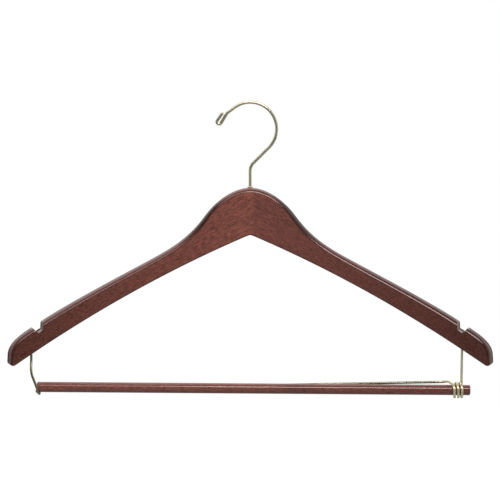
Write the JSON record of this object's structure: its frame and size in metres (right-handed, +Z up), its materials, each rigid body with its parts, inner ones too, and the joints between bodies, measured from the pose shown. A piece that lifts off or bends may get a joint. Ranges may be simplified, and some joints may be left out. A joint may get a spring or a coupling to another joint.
{
  "type": "wooden suit hanger",
  "caption": "Contoured wooden suit hanger with a swivelling brass wire hook, strap notches and a wooden trouser bar held in a spring wire stirrup.",
  "frame": {"origin": "the inside of the hook's crown, where a rail carries the hanger, on the swivel axis", "axes": "+X to the right along the width as seen from the front, +Y to the back, +Z up along the hook's stem; the arm tips sweep forward, to -Y"},
  "size_m": [0.4324, 0.0511, 0.2643],
  "materials": {
    "arm_wood": "dark red-brown stain under glossy lacquer",
    "bar_wood": "red-brown stain under satin lacquer",
    "hook_brass": "polished pale brass plate",
    "wire_brass": "polished brass plate",
    "liner_brass": "turned brass"
  },
  "bodies": {
    "hook": {"swivel_hook": "hook_brass"},
    "hanger": {"left_arm": "arm_wood", "right_arm": "arm_wood", "hook_ferrule": "liner_brass", "hook_washer": "liner_brass", "stirrup_wire": "wire_brass"},
    "bar": {"trouser_bar": "bar_wood"}
  },
  "joints": [
    {"name": "hook_swivel", "type": "hinge", "parent": "hook", "child": "hanger", "pos_m": [0, 0, -0.0755], "axis": [0, 0, 1], "continuous": true},
    {"name": "bar_lift", "type": "hinge", "parent": "hanger", "child": "bar", "pos_m": [0.1851, -0.03045, -0.2541], "axis": [0, 1, 0], "range_deg": [0, 4]}
  ]
}
